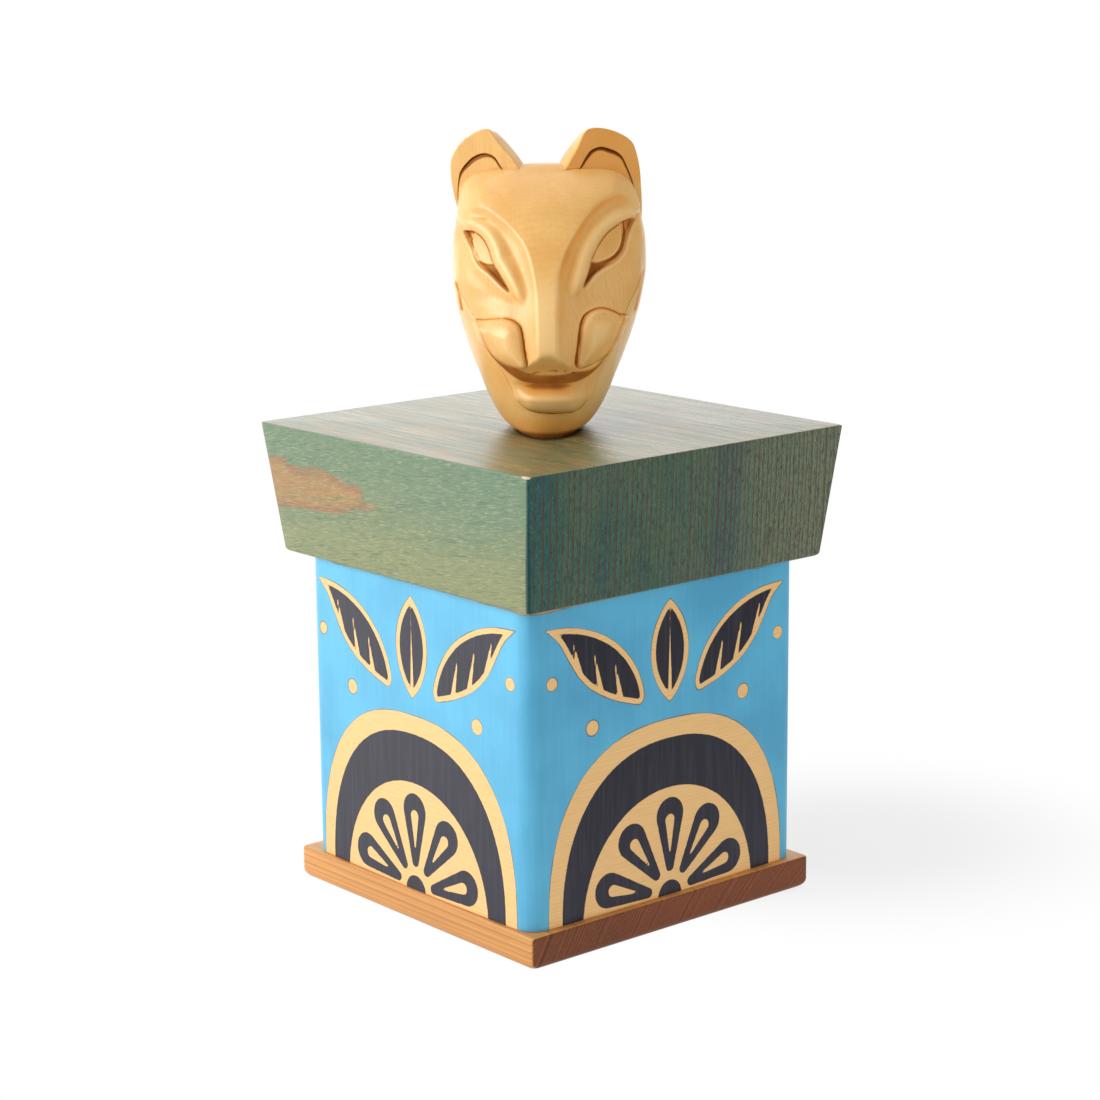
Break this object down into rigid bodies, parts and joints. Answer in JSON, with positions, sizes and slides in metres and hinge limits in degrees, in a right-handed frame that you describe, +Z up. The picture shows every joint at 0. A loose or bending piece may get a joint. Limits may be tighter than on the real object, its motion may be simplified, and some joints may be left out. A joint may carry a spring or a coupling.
{
  "type": "carved wooden box",
  "caption": "Square bentwood box with painted sides, pegged base board and thick lift-off lid that carries a carved animal head as its handle.",
  "frame": {"origin": "under the middle of the lid, on the surface that the base board stands on", "axes": "+Z up; +X and +Y square to the sides; the corner between the -X and -Y sides is the front, which the head faces"},
  "size_m": [0.1598, 0.1608, 0.3006],
  "materials": {
    "base_wood": "red cedar, satin oil",
    "painted_sides": "sky-blue and black paint over bare pale wood, matt",
    "peg_wood": "bare wood",
    "stained_lid": "thin green stain over cedar, satin",
    "head_wood": "yellow wood, oiled and burnished"
  },
  "bodies": {
    "box": {"base_board": "base_wood", "side_plank": "painted_sides", "corner_peg_1": "peg_wood", "corner_peg_2": "peg_wood", "corner_peg_3": "peg_wood", "corner_peg_4": "peg_wood", "corner_peg_5": "peg_wood", "base_peg_1": "peg_wood", "base_peg_2": "peg_wood", "base_peg_3": "peg_wood", "base_peg_4": "peg_wood", "base_peg_5": "peg_wood", "base_peg_6": "peg_wood", "base_peg_7": "peg_wood", "base_peg_8": "peg_wood"},
    "lid": {"lid": "stained_lid", "carved_head": "head_wood", "head_dowel": "peg_wood"}
  },
  "joints": [
    {"name": "lid_lift", "type": "slide", "parent": "box", "child": "lid", "axis": [0, 0, 1], "range_m": [0, 0.15]}
  ]
}
